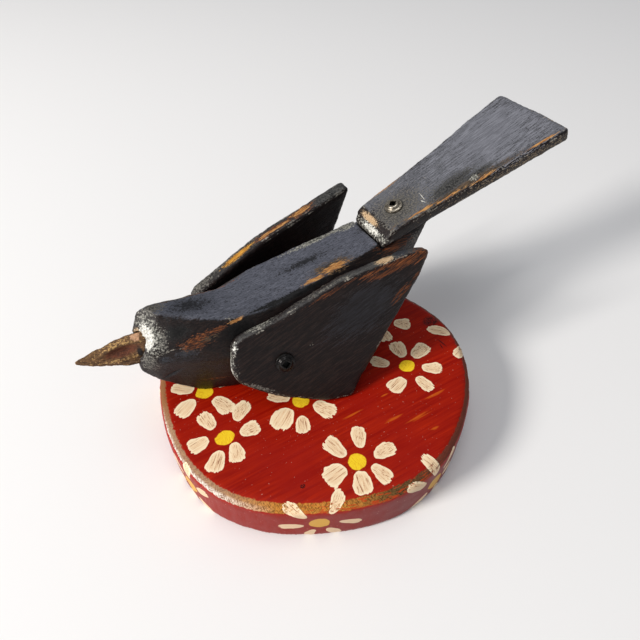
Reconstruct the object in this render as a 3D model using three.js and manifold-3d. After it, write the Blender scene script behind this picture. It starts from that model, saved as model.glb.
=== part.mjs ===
// Folk-art blackbird: a hand-carved wooden block for a body, a rough stick for a beak, two flat
// wings and a flared tail, each held by one square-drive screw, on a thick round board.
// Millimetres, +Z up, +X from the beak to the tail. The origin is the middle of the board's underside.
import * as THREE from "three";
import { mergeVertices } from "three/addons/utils/BufferGeometryUtils.js";
import Module from "manifold-3d";

const wasm = await Module();
wasm.setup();

// Air left where one piece lies on another or passes through it
const GAP = 0.3;
// A block large enough to trim any piece of the bird
const TRIM_BLOCK = 400;

// The board: a disc sawn by hand, so its radius swells and shrinks a little around it.
// Each swell gives the number of lobes, their height and the direction of the first one.
const BASE = { radius: 87.8, height: 29, sides: 72 };
const BASE_SWELLS = [
  { lobes: 2, height: 1.9, firstDeg: -28.5 },
  { lobes: 3, height: 0.8, firstDeg: -28 },
  { lobes: 5, height: 1.3, firstDeg: -9.5 },
];
const BASE_RIM = { inset: 4.4, drop: 3.6, steps: 2 };

// Where the bird's own origin stands on the board's top: under its middle line, between the wings
const BIRD_PLACE = { x: -6.7, y: 30.7 };

// The uncut block is wide and tall enough for both outlines of the body
const BLOCK = { width: 120, height: 120, foot: -30 };
// The body seen from the side, in the bird's own frame: corners as [x, z, corner radius]
const BODY_SIDE = [
  [-69.5, 56, 4],
  [-79.5, 47, 2],
  [-80.5, 26, 3],
  [-73, 15, 8],
  [-54, 0, 9],
  [59, 0, 2],
  [85, 43.5, 40],
  [99, 66, 1],
  [80, 66, 1],
  [57, 57, 1],
  [27, 53, 90],
  [-8, 48.7, 90],
  [-30, 48.3, 60],
];
// The body seen from above, at its widest: corners as [x, y, corner radius]
const BODY_PLAN = [
  [-82, -12, 2],
  [-60, -17, 30],
  [-46, -23, 30],
  [-27, -31, 18],
  [-8, -35, 25],
  [22, -33, 40],
  [62, -23, 40],
  [100, -13, 3],
  [100, 12, 3],
  [62, 19, 40],
  [20, 26, 40],
  [-14, 29, 25],
  [-40, 20, 30],
  [-60, 12, 30],
  [-82, 9.5, 2],
];
// Flat knife and saw cuts that finish the block: a point on each cut, and the way the cut faces
const BODY_CUTS = [
  { name: "left flank behind the wing", at: [5, -17.7, 50.5], facing: [0.013, -0.857, 0.515] },
  { name: "left side of the stern", at: [87.9, -12.7, 56.8], facing: [0.22, -0.975, 0.01] },
  { name: "left chamfer of the neck", at: [-28, -18, 48.5], facing: [-0.16, -0.62, 0.77] },
  { name: "left chamfer of the crown", at: [-61, -4, 54], facing: [-0.24, -0.79, 0.566] },
  { name: "left cheek", at: [-60, -14.5, 40], facing: [-0.331, -0.93, 0.157] },
  { name: "left side of the throat", at: [-62, -15.5, 33], facing: [-0.36, -0.92, -0.15] },
  { name: "left side of the face", at: [-80, -3, 36], facing: [-0.75, -0.61, 0.26] },
  { name: "left front corner of the crown", at: [-70, -2.8, 48.3], facing: [-0.4, -0.72, 0.565] },
  { name: "front of the crown", at: [-70, -4, 46.5], facing: [-0.66, -0.45, 0.6] },
  { name: "right side of the face", at: [-80, 6, 36], facing: [-0.75, 0.61, 0.26] },
  { name: "right flank", at: [5, 14.5, 50.5], facing: [-0.055, 0.857, 0.515] },
  { name: "right side of the throat", at: [-62, 13, 30], facing: [-0.3, 0.93, -0.2] },
];
// The right side of the neck is hollowed between two cuts that meet behind the head
const NECK_HOLLOW = [
  { at: [-48, 8.7, 50.5], facing: [0.03, 0.93, 0.36] },
  { at: [-28, 8.6, 48.5], facing: [-0.207, 0.69, 0.69] },
];

// A flat wing, drawn with its screw hole at the origin: corners as [along, up, corner radius]
const WING_THICKNESS = 8.5;
const LEFT_WING_OUTLINE = [
  [-27.5, 3, 14],
  [-22.5, 19.5, 9],
  [0, 23, 40],
  [40, 33.8, 60],
  [78, 37, 30],
  [90.2, 34.6, 3],
  [81.5, 22, 60],
  [38, -24.5, 25],
  [31.5, -33.5, 6],
  [18, -31.7, 15],
  [-8, -19, 60],
  [-25.5, -4, 12],
];
const RIGHT_WING_OUTLINE = [
  [-26, 1, 12],
  [-22, 7.5, 9],
  [-6, 14.8, 30],
  [20, 26.2, 60],
  [50, 33.8, 60],
  [82.5, 42, 4],
  [79, 30, 14],
  [72, 9, 60],
  [56, -17, 30],
  [30, -27.5, 14],
  [-14, -13.5, 25],
];
// Where each wing's screw meets the flank, how far the wing leans out at the bottom, and its yaw
const LEFT_WING_SEAT = { at: [-13.65, -32.3, 24.8], splayDeg: 25.8, toeOutDeg: 10.4 };
const RIGHT_WING_SEAT = { at: [-14.5, 26, 27.4], splayDeg: 5, toeOutDeg: 4.8 };

// The flared tail, drawn with its screw hole at the origin: corners as [along, across, corner radius]
const TAIL_THICKNESS = 8.5;
const TAIL_OUTLINE = [
  [-20, -14.5, 2],
  [8, -17, 60],
  [38, -20.5, 60],
  [101, -28.8, 3],
  [101.2, -6, 80],
  [100.5, 25.5, 3],
  [72, 23.5, 80],
  [42, 19.8, 60],
  [-20, 16, 6],
];
const TAIL_SEAT = { at: [80, 0, 60.2], pitchDeg: 20.7 };
const TAIL_FRONT_BEVEL = { at: [-11.8, 0, 8.5], facing: [-0.57, 0, 0.82] };
// How far the body's notch for the tail reaches in front of the tail's front end
const TAIL_NOTCH_FRONT = -20.5;

// Worn corners along every board's edges
const EDGE_WEAR = 1.4;

// Screws with a square recess, a shank that reaches into the body and a short point
const SCREW = { shank: 2.1, reach: 16, point: 3, sides: 20 };
// The head of a screw, its washer and dome in one: corners as [radius, height above the board]
const SCREW_HEAD = [
  [5.1, 0],
  [5.1, 0.7],
  [3.8, 1.1],
  [3.3, 1.95],
  [2.4, 2.6],
];
const SCREW_RECESS = { side: 3.4, depth: 2.2 };
// How far a drilled hole or a socket runs past the faces that it opens
const OVERRUN = 1;

// The beak: an oval stick cut to a rough point, set in a socket in the face
const BEAK = { root: [-72.8, 1.6, 34], tip: [-107.3, 2.7, 39.2], height: 20.5, width: 12 };
const BEAK_POINT = { width: 1.6, fullness: 1.35 };
// Its hacked facets: how deep they are, and how often they come around it and along it
const BEAK_FACETS = { depth: 0.07, around: [3, 5], along: [7, -11] };
const BEAK_GRID = { sides: 10, rings: 7 };

const paint = (color, roughness, metalness = 0) =>
  new THREE.MeshStandardMaterial({ color, roughness, metalness });
const blackPaint = paint(0x22242b, 0.5);
const redPaint = paint(0xa01c12, 0.55);
const barkBrown = paint(0x6b4a30, 0.9);
const dullSteel = paint(0x77746e, 0.4, 0.9);

// Turns a closed geometry into a solid that can be cut and joined
function toSolid(geometry) {
  geometry.deleteAttribute("normal");
  geometry.deleteAttribute("uv");
  const merged = mergeVertices(geometry, 1e-4);
  return new wasm.Manifold(
    new wasm.Mesh({
      numProp: 3,
      vertProperties: new Float32Array(merged.attributes.position.array),
      triVerts: new Uint32Array(merged.index.array),
    }),
  );
}

function toMesh(name, solid, material) {
  const { vertProperties, triVerts } = solid.getMesh();
  const geometry = new THREE.BufferGeometry();
  geometry.setAttribute("position", new THREE.BufferAttribute(vertProperties, 3));
  geometry.setIndex(new THREE.BufferAttribute(triVerts, 1));
  geometry.computeVertexNormals();
  const mesh = new THREE.Mesh(geometry, material);
  mesh.name = name;
  return mesh;
}

// A closed outline through its corners, each rounded to its own radius
function outlineOf(corners) {
  const shape = new THREE.Shape();
  corners.forEach(([x, y, radius], i) => {
    const corner = new THREE.Vector2(x, y);
    const before = new THREE.Vector2(...corners.at(i - 1)).sub(corner);
    const after = new THREE.Vector2(...corners[(i + 1) % corners.length]).sub(corner);
    const halfAngle = Math.abs(before.angleTo(after)) / 2;
    const reach = Math.min(radius / Math.tan(halfAngle), 0.45 * before.length(), 0.45 * after.length());
    const start = before.setLength(reach).add(corner);
    const end = after.setLength(reach).add(corner);
    if (i === 0) shape.moveTo(start.x, start.y);
    else shape.lineTo(start.x, start.y);
    shape.quadraticCurveTo(x, y, end.x, end.y);
  });
  shape.closePath();
  return shape;
}

// A board of an outline drawn in XY, from z 0 up to its thickness, with its long edges worn off
function board(corners, thickness, wear) {
  return new THREE.ExtrudeGeometry(outlineOf(corners), {
    depth: thickness - 2 * wear,
    bevelThickness: wear,
    bevelSize: wear,
    bevelOffset: -wear,
    bevelSegments: 1,
    bevelEnabled: wear > 0,
    curveSegments: 4,
  }).translate(0, 0, wear);
}

// All the space beyond a plane through a point, on the side that the plane faces
function beyond(at, facing) {
  const turn = new THREE.Quaternion().setFromUnitVectors(
    new THREE.Vector3(0, 0, 1),
    new THREE.Vector3(...facing).normalize(),
  );
  const block = new THREE.BoxGeometry(TRIM_BLOCK, TRIM_BLOCK, TRIM_BLOCK)
    .translate(0, 0, TRIM_BLOCK / 2)
    .applyQuaternion(turn)
    .translate(...at);
  return toSolid(block);
}

function cutFlat(solid, at, facing) {
  return solid.subtract(beyond(at, facing));
}

const degrees = THREE.MathUtils.degToRad;

// Each seat is a turned group in the bird's frame, which holds a board and its screw
function seatGroup(at, turnX, turnY, turnZ) {
  const seat = new THREE.Group();
  seat.position.set(...at);
  seat.rotation.set(degrees(turnX), degrees(turnY), degrees(turnZ));
  seat.updateMatrix();
  return seat;
}

const leftSeat = seatGroup(LEFT_WING_SEAT.at, -LEFT_WING_SEAT.splayDeg, 0, -LEFT_WING_SEAT.toeOutDeg);
const rightSeat = seatGroup(RIGHT_WING_SEAT.at, RIGHT_WING_SEAT.splayDeg, 0, RIGHT_WING_SEAT.toeOutDeg);
const tailSeat = seatGroup(TAIL_SEAT.at, 0, -TAIL_SEAT.pitchDeg, 0);

// A round hole for a screw shank along Z, from one height to another
function shankHole(from, to) {
  const height = to - from;
  return new THREE.CylinderGeometry(SCREW.shank + GAP, SCREW.shank + GAP, height, SCREW.sides)
    .rotateX(Math.PI / 2)
    .translate(0, 0, from + height / 2);
}

// The screw stands along Z: its head lies on a board of the given thickness, above the origin
function screwSolid(boardThickness) {
  const seat = boardThickness + GAP;
  const crown = seat + SCREW_HEAD.at(-1)[1];
  const profile = [
    new THREE.Vector2(0, -SCREW.reach),
    new THREE.Vector2(SCREW.shank, SCREW.point - SCREW.reach),
    new THREE.Vector2(SCREW.shank, seat),
    ...SCREW_HEAD.map(([radius, height]) => new THREE.Vector2(radius, seat + height)),
    new THREE.Vector2(0, crown),
  ];
  const recess = new THREE.BoxGeometry(SCREW_RECESS.side, SCREW_RECESS.side, 2 * SCREW_RECESS.depth);
  return toSolid(new THREE.LatheGeometry(profile, SCREW.sides).rotateX(Math.PI / 2)).subtract(
    toSolid(recess.translate(0, 0, crown)),
  );
}

// The board under the bird, chamfered around its top
function baseSolid() {
  const outline = new THREE.Shape();
  for (let i = 0; i < BASE.sides; i += 1) {
    const angle = (2 * Math.PI * i) / BASE.sides;
    const swell = BASE_SWELLS.reduce(
      (sum, { lobes, height, firstDeg }) => sum + height * Math.cos(lobes * (angle - degrees(firstDeg))),
      0,
    );
    const x = (BASE.radius + swell) * Math.cos(angle);
    const y = (BASE.radius + swell) * Math.sin(angle);
    if (i === 0) outline.moveTo(x, y);
    else outline.lineTo(x, y);
  }
  outline.closePath();
  const plate = new THREE.ExtrudeGeometry(outline, {
    depth: BASE.height - BASE_RIM.drop,
    bevelThickness: BASE_RIM.drop,
    bevelSize: BASE_RIM.inset,
    bevelOffset: -BASE_RIM.inset,
    bevelSegments: BASE_RIM.steps,
  });
  return cutFlat(toSolid(plate), [0, 0, 0], [0, 0, -1]);
}

// A rough pointed stick along its own +Z, its section an oval with a shallow, uneven facet pattern
function beakGeometry(grown) {
  const root = new THREE.Vector3(...BEAK.root);
  const reach = new THREE.Vector3(...BEAK.tip).sub(root);
  const length = reach.length();
  const { sides, rings } = BEAK_GRID;
  const stick = new THREE.CylinderGeometry(1, 1, length, sides, rings).rotateX(Math.PI / 2);
  const place = stick.attributes.position;
  for (let i = 0; i < place.count; i += 1) {
    const angle = Math.atan2(place.getY(i), place.getX(i));
    const along = THREE.MathUtils.clamp(place.getZ(i) / length + 0.5, 0, 1);
    const [wide, narrow] = BEAK_FACETS.around.map((n, k) => n * angle + BEAK_FACETS.along[k] * along);
    const rough = 1 + BEAK_FACETS.depth * Math.sin(wide) * Math.cos(narrow);
    const taper = 1 - along ** BEAK_POINT.fullness;
    const radius = rough * Math.hypot(place.getX(i), place.getY(i));
    const across = radius * ((BEAK_POINT.width + taper * BEAK.width) / 2 + grown);
    const tall = radius * ((BEAK_POINT.width + taper * BEAK.height) / 2 + grown);
    place.setXYZ(i, Math.cos(angle) * across, Math.sin(angle) * tall, along * length);
  }
  const turn = new THREE.Matrix4().lookAt(root, root.clone().sub(reach), new THREE.Vector3(0, 0, 1));
  return stick.applyMatrix4(turn).translate(...BEAK.root);
}

// The carved block: its two outlines meet, then the flat cuts, seats, holes and socket
function bodySolid() {
  const side = board(BODY_SIDE, BLOCK.width, 0).rotateX(Math.PI / 2).translate(0, BLOCK.width / 2, 0);
  const plan = board(BODY_PLAN, BLOCK.height, 0).translate(0, 0, BLOCK.foot);
  let block = toSolid(side).intersect(toSolid(plan));
  for (const { at, facing } of BODY_CUTS) block = cutFlat(block, at, facing);
  const [front, rear] = NECK_HOLLOW.map(({ at, facing }) => beyond(at, facing));
  block = block.subtract(front.intersect(rear));

  const leftBlock = new THREE.BoxGeometry(TRIM_BLOCK, TRIM_BLOCK, TRIM_BLOCK);
  leftBlock.translate(0, GAP - TRIM_BLOCK / 2, 0).applyMatrix4(leftSeat.matrix);
  const rightBlock = new THREE.BoxGeometry(TRIM_BLOCK, TRIM_BLOCK, TRIM_BLOCK);
  rightBlock.translate(0, TRIM_BLOCK / 2 - GAP, 0).applyMatrix4(rightSeat.matrix);
  const notch = new THREE.BoxGeometry(TRIM_BLOCK, TRIM_BLOCK, TRIM_BLOCK);
  notch.translate(TRIM_BLOCK / 2 + TAIL_NOTCH_FRONT, 0, TRIM_BLOCK / 2 - GAP).applyMatrix4(tailSeat.matrix);
  for (const seat of [leftBlock, rightBlock, notch]) block = block.subtract(toSolid(seat));

  const deepest = -SCREW.reach - OVERRUN;
  const leftHole = shankHole(deepest, OVERRUN).rotateX(Math.PI / 2).applyMatrix4(leftSeat.matrix);
  const rightHole = shankHole(deepest, OVERRUN).rotateX(-Math.PI / 2).applyMatrix4(rightSeat.matrix);
  const tailHole = shankHole(deepest, OVERRUN).applyMatrix4(tailSeat.matrix);
  for (const hole of [leftHole, rightHole, tailHole]) block = block.subtract(toSolid(hole));

  block = block.subtract(toSolid(beakGeometry(GAP).translate(GAP, 0, 0)));
  return cutFlat(block, [0, 0, GAP], [0, 0, -1]);
}

// A wing lies against its seat with its outer face away from the body, and its foot is cut level
// just above the base. Its side is -1 for the bird's left and +1 for its right.
function wingSolid(outline, seat, side) {
  const plate = board(outline, WING_THICKNESS, EDGE_WEAR).rotateX(Math.PI / 2);
  if (side > 0) plate.translate(0, WING_THICKNESS, 0);
  const hole = shankHole(-OVERRUN, WING_THICKNESS + OVERRUN).rotateX((-side * Math.PI) / 2);
  const ground = new THREE.BoxGeometry(TRIM_BLOCK, TRIM_BLOCK, TRIM_BLOCK);
  ground.translate(0, 0, GAP - TRIM_BLOCK / 2).applyMatrix4(seat.matrix.clone().invert());
  return toSolid(plate).subtract(toSolid(hole)).subtract(toSolid(ground));
}

function tailSolid() {
  const plate = toSolid(board(TAIL_OUTLINE, TAIL_THICKNESS, EDGE_WEAR));
  const bevelled = cutFlat(plate, TAIL_FRONT_BEVEL.at, TAIL_FRONT_BEVEL.facing);
  return bevelled.subtract(toSolid(shankHole(-OVERRUN, TAIL_THICKNESS + OVERRUN)));
}

leftSeat.add(toMesh("left_wing", wingSolid(LEFT_WING_OUTLINE, leftSeat, -1), blackPaint));
rightSeat.add(toMesh("right_wing", wingSolid(RIGHT_WING_OUTLINE, rightSeat, 1), blackPaint));
tailSeat.add(toMesh("tail", tailSolid(), blackPaint));

const leftScrew = toMesh("screw_left_wing", screwSolid(WING_THICKNESS), dullSteel);
leftScrew.rotation.x = Math.PI / 2;
leftSeat.add(leftScrew);
const rightScrew = toMesh("screw_right_wing", screwSolid(WING_THICKNESS), dullSteel);
rightScrew.rotation.x = -Math.PI / 2;
rightSeat.add(rightScrew);
tailSeat.add(toMesh("screw_tail", screwSolid(TAIL_THICKNESS), dullSteel));

const bird = new THREE.Group();
bird.position.set(BIRD_PLACE.x, BIRD_PLACE.y, BASE.height);
bird.add(toMesh("body", bodySolid(), blackPaint));
bird.add(toMesh("beak", toSolid(beakGeometry(0)), barkBrown));
bird.add(leftSeat, rightSeat, tailSeat);

const figurine = new THREE.Group();
figurine.add(toMesh("base", baseSolid(), redPaint), bird);

export default figurine;
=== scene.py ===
import math
import bpy
import bmesh
import numpy as np
from mathutils import Euler, Matrix, Vector, kdtree


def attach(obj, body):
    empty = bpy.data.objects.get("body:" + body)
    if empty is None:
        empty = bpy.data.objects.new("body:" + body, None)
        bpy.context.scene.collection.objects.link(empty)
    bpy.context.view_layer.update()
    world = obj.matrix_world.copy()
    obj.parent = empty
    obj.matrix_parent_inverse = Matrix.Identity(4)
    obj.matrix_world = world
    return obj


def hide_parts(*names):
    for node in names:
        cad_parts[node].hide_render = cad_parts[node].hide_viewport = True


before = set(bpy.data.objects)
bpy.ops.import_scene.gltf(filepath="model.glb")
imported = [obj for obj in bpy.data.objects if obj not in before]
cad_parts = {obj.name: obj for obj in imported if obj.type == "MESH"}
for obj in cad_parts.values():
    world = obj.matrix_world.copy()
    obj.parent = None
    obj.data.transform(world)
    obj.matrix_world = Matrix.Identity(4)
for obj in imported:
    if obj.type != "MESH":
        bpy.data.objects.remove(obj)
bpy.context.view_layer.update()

# The camera stands in front of the beak and to the bird's left, looking down at the figurine.
# Its back points away from the figurine, and the picture is level.
camera_data = bpy.data.cameras.new("camera")
camera = bpy.data.objects.new("camera", camera_data)
bpy.context.scene.collection.objects.link(camera)
back = Vector((-0.3505, -0.600, 0.719)).normalized()
right = Vector((math.cos(math.radians(-30.3)), math.sin(math.radians(-30.3)), 0))
right = (right - right.dot(back) * back).normalized()
up = back.cross(right)
camera.matrix_world = Matrix.Translation((-0.0920, -0.1646, 0.2642)) @ Matrix(
    (right, up, back)
).transposed().to_4x4()
camera_data.sensor_width = 36
camera_data.lens = 29.25
camera_data.clip_start = 0.01
bpy.context.scene.camera = camera
bpy.context.scene.view_settings.view_transform = "Standard"


# Base: a thick slice of pine sawn round by hand, its top edge taken off with a rasp. Red enamel is
# brushed on along the grain, and the daisies are dabbed over it, a loaded brush to each petal. The
# enamel has worn off the rasped edge.
BOARD_RADIUS = 87.8
BOARD_HEIGHT = 29.0
SEAM = 92.0  # the direction at the back where the measure round the edge starts and ends


def board_edge(angle):
    """Radius of the sawn board in a direction, in mm."""
    return (
        BOARD_RADIUS
        + 1.9 * np.cos(2 * (angle - math.radians(-28.5)))
        + 0.8 * np.cos(3 * (angle - math.radians(-28)))
        + 1.3 * np.cos(5 * (angle - math.radians(-9.5)))
    )


def round_the_edge(degrees):
    """Distance round the board's edge from the seam, in mm."""
    return (degrees - SEAM) % 360 / 360 * 2 * math.pi * BOARD_RADIUS


def colour(hex_code):
    """An sRGB hex colour as linear light."""
    parts = [int(hex_code[i : i + 2], 16) / 255 for i in (1, 3, 5)]
    return [p / 12.92 if p < 0.04045 else ((p + 0.055) / 1.055) ** 2.4 for p in parts] + [1]


def add(tree, kind, *values, **settings):
    """Adds a shader node and gives its first output in use. Values go to its inputs in their order.
    Settings in lower case are the node's own, and the others are named inputs."""
    node = tree.nodes.new("ShaderNode" + kind)
    for name, value in settings.items():
        if name.islower():
            setattr(node, name, value)
    given = list(zip([s for s in node.inputs if s.enabled], values))
    given += [(node.inputs[n.replace("_", " ")], v) for n, v in settings.items() if not n.islower()]
    for socket, value in given:
        if isinstance(value, bpy.types.NodeSocket):
            tree.links.new(value, socket)
        else:
            socket.default_value = value
    return next(s for s in node.outputs if s.enabled)


def finish_of(name, **settings):
    """A new material whose one shader takes its plain values from the settings."""
    material = bpy.data.materials.new(name)
    material.use_nodes = True
    tree = material.node_tree
    shader = tree.nodes["Principled BSDF"]
    for socket, value in settings.items():
        shader.inputs[socket.replace("_", " ")].default_value = value
    return material, tree, shader


def millimetres(tree, middle=(0, 0, 0), turn=(0, 0, 0)):
    """The place on the piece in mm, measured from a spot and along turned axes."""
    place = tree.nodes.new("ShaderNodeTexCoord").outputs["Object"]
    scaled = add(tree, "VectorMath", place, 1000.0, operation="SCALE")
    return add(tree, "Mapping", scaled, middle, turn, vector_type="TEXTURE")


def streaks(tree, point, sizes, detail=3.0, roughness=0.55, turn=(0, 0, 0)):
    """Soft uneven streaks of about the given sizes in mm along the turned axes, from 0 to 1."""
    drawn_out = add(tree, "Mapping", point, (0, 0, 0), turn, sizes, vector_type="TEXTURE")
    return add(tree, "TexNoise", drawn_out, 1.0, detail, roughness)


def near(tree, point, spots):
    """1 in the middle of the nearest of the spots, 0 from its edge outwards. Each spot gives its
    middle and its reach along the three axes in mm, and it may be turned."""
    nearest = 9.0
    for middle, reach, *turn in spots:
        turn = [math.radians(t) for t in (turn[0] if turn else (0, 0, 0))]
        local = add(tree, "Mapping", point, middle, turn, reach, vector_type="TEXTURE")
        far = add(tree, "VectorMath", local, operation="LENGTH")
        nearest = add(tree, "Math", nearest, far, operation="MINIMUM")
    return add(tree, "Math", 1.0, nearest, operation="SUBTRACT")


def rubbed_copy(node, name, grid, rounding, softness=3):
    """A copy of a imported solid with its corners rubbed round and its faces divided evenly. Each
    point keeps its distance in mm from the nearest corner edge, for the wear."""
    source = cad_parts[node]
    piece = bpy.data.objects.new(name, source.data.copy())
    bpy.context.scene.collection.objects.link(piece)
    piece.data.materials.clear()
    bpy.ops.object.select_all(action="DESELECT")
    piece.select_set(True)
    bpy.context.view_layer.objects.active = piece
    if piece.data.has_custom_normals:
        bpy.ops.mesh.customdata_custom_splitnormals_clear()
    bpy.ops.object.mode_set(mode="EDIT")
    bpy.ops.mesh.select_all(action="SELECT")
    bpy.ops.mesh.remove_doubles(threshold=1e-5)
    bpy.ops.mesh.dissolve_limited(angle_limit=math.radians(1))
    bpy.ops.object.mode_set(mode="OBJECT")
    edges = bmesh.new()
    edges.from_mesh(piece.data)
    along_edges = []
    for edge in edges.edges:
        if len(edge.link_faces) == 2 and edge.calc_face_angle() > math.radians(20):
            first, last = (v.co.copy() for v in edge.verts)
            steps = max(1, int((last - first).length / 0.0005))
            along_edges += [first.lerp(last, i / steps) for i in range(steps + 1)]
    edges.free()
    bevel = piece.modifiers.new("rubbed corners", "BEVEL")
    bevel.width = rounding / 1000
    bevel.segments = 3
    bevel.limit_method = "ANGLE"
    bevel.angle_limit = math.radians(24)
    remesh = piece.modifiers.new("even faces", "REMESH")
    remesh.mode = "VOXEL"
    remesh.voxel_size = grid / 1000
    smooth = piece.modifiers.new("even surface", "SMOOTH")
    smooth.factor = 0.5
    smooth.iterations = softness
    for modifier in ("rubbed corners", "even faces", "even surface"):
        bpy.ops.object.modifier_apply(modifier=modifier)
    tree = kdtree.KDTree(len(along_edges))
    for i, point in enumerate(along_edges):
        tree.insert(point, i)
    tree.balance()
    reach = piece.data.attributes.new("edge", "FLOAT", "POINT")
    reach.data.foreach_set("value", [tree.find(v.co)[2] * 1000 for v in piece.data.vertices])
    bpy.ops.object.shade_smooth()
    return piece


def worked(piece, name, size, depth, stretch=(1, 1, 1), turn=(0, 0, 0), corners=0.0):
    """Cuts an uneven surface into a piece: humps of a size and depth in mm, drawn out along the
    turned axes by the stretch. With corners in mm, only what lies that near an edge is cut."""
    axes = bpy.data.objects.new("axes", None)
    axes.rotation_euler = turn
    axes.scale = stretch
    bpy.context.scene.collection.objects.link(axes)
    bpy.context.view_layer.update()
    humps = bpy.data.textures.new(name, "CLOUDS")
    humps.noise_scale = size / 1000
    humps.noise_depth = 2
    cut = piece.modifiers.new(name, "DISPLACE")
    cut.texture = humps
    cut.texture_coords = "OBJECT"
    cut.texture_coords_object = axes
    cut.strength = depth / 1000
    cut.mid_level = 0.5
    if corners:
        near_corners = piece.vertex_groups.new(name="near corners")
        for i, reach in enumerate(piece.data.attributes["edge"].data):
            near_corners.add([i], max(0.0, 1 - reach.value / corners), "REPLACE")
        cut.vertex_group = "near corners"
        cut.mid_level = 0.75
    bpy.ops.object.select_all(action="DESELECT")
    piece.select_set(True)
    bpy.context.view_layer.objects.active = piece
    bpy.ops.object.modifier_apply(modifier=name)
    if corners:
        piece.vertex_groups.clear()
    bpy.data.objects.remove(axes)


board = rubbed_copy("base", "painted_board", 1.25, 1.2)
worked(board, "hand sawn", 22, 0.7)
worked(board, "rasped edge", 4, 0.8, corners=4.5)
for vertex in board.data.vertices:
    vertex.co.z = max(vertex.co.z, 0)
# Each daisy on the top: its eye, and its petals as direction from the eye, direction of the brush
# stroke, distance of the petal's middle, length and width
TOP_DAISIES = [
    ((-62.4, -16.5), [
        (38, 40, 17.8, 13.2, 8.8), (-8, -3, 13.6, 11.1, 9.7), (-81, -104, 10.9, 11.6, 8.8),
        (-131, -133, 13.7, 12.8, 9.4), (166, 187, 13.4, 11.3, 9.5), (106, 102, 14.8, 12.6, 8.9),
    ]),
    ((-60.7, 15.9), [
        (140, 143, 12.6, 13.0, 8.6), (-159, -156, 13.6, 12.6, 10.4), (-67, -71, 13.6, 13.6, 9.7),
        (80, 84, 13.5, 12.5, 9.0), (8, 4, 13.2, 12.0, 9.4),
    ]),
    ((-17.4, -16.0), [
        (137, 137, 12.6, 13.0, 8.2), (-159, -150, 14.6, 14.4, 13.1), (-115, -116, 15.1, 10.9, 8.3),
        (-53, -62, 14.2, 13.8, 10.4), (76, 74, 13.6, 12.4, 9.2), (10, 6, 14.2, 12.2, 9.6),
    ]),
    ((-10.8, -62.3), [
        (53, 59, 14.3, 13.2, 8.2), (114, 104, 13.2, 14.0, 9.2), (-7, -1, 15.2, 12.6, 8.8),
        (-59, -74, 13.4, 12.4, 8.4), (-110, -112, 11.4, 12.4, 10.4), (-179, -175, 12.8, 12.6, 11.1),
    ]),
    ((47.4, -25.6), [
        (74, 83, 12.9, 12.6, 9.6), (21, 12, 14.7, 14.0, 9.6), (-36, -34, 14.4, 12.2, 8.4),
        (-86, -82, 15.1, 11.8, 8.4), (-147, -164, 15.0, 12.6, 9.8), (140, 134, 15.5, 11.1, 8.4),
    ]),
    ((54.0, 11.5), [
        (-36, -40, 14.1, 10.6, 9.8), (-108, -106, 12.0, 10.0, 8.0), (24, 20, 14.4, 12.4, 9.2),
        (84, 88, 14.0, 12.6, 8.8), (146, 150, 14.2, 12.0, 9.4), (-156, -152, 14.6, 12.4, 9.2),
    ]),
    ((-6.0, 61.0), [
        (20, 24, 14.2, 12.4, 9.2), (84, 80, 13.6, 13.2, 8.8), (142, 146, 14.6, 12.2, 9.6),
        (-158, -160, 13.8, 12.8, 9.0), (-98, -94, 14.2, 12.2, 9.4), (-40, -44, 13.8, 13.0, 8.8),
    ]),
    ((36.0, 48.0), [
        (50, 52, 13.8, 12.8, 9.0), (112, 108, 14.4, 12.2, 9.6), (172, 176, 13.6, 12.6, 8.8),
        (-130, -128, 14.2, 12.0, 9.2), (-70, -74, 13.8, 12.8, 9.4), (-8, -6, 14.4, 12.6, 8.8),
    ]),
]
# Each daisy on the edge: the direction and height of its eye, then petals in the same way, with
# the distances measured round the edge and up over the corner on to the top
EDGE_DAISIES = [
    (-74.5, 12.5, [
        (96, 94, 17.6, 18.0, 7.6), (141, 138, 18.6, 15.0, 8.0), (222, 216, 13.6, 13.0, 6.4),
        (285, 285, 9.6, 8.0, 5.6), (346, 344, 12.6, 11.6, 6.0), (38, 40, 14.6, 13.0, 6.6),
    ]),
    (-117.9, 15.4, [
        (137, 134, 17.2, 16.0, 8.2), (62, 66, 18.4, 15.5, 7.4), (192, 186, 14.8, 13.0, 5.6),
        (352, 344, 16.0, 12.5, 5.0), (246, 240, 11.8, 8.5, 5.4), (304, 316, 12.4, 10.0, 5.8),
    ]),
    (-165.5, 12.0, [
        (28, 30, 11.6, 10.0, 6.4), (92, 94, 13.0, 11.6, 6.6), (150, 148, 12.6, 11.6, 6.4),
        (212, 208, 12.6, 11.0, 6.2), (268, 268, 9.6, 7.0, 6.0), (318, 326, 13.4, 11.5, 6.0),
    ]),
    (-16.0, 22.0, [
        (56, 48, 18.6, 14.5, 8.6), (132, 128, 12.6, 13.0, 7.2), (188, 186, 12.8, 12.0, 6.4),
        (240, 236, 13.2, 12.0, 6.6), (298, 300, 12.8, 12.0, 6.2), (352, 350, 13.2, 12.2, 6.8),
    ]),
] + [
    (direction, 14.5, [
        (first + 60 * i, first + 60 * i + (-6, 5, 2)[i % 3], 12.8 + (i % 2), 11.6, 6.6)
        for i in range(6)
    ])
    for direction, first in ((28, 20), (70, 35), (118, 28), (152, 42))
]

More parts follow.
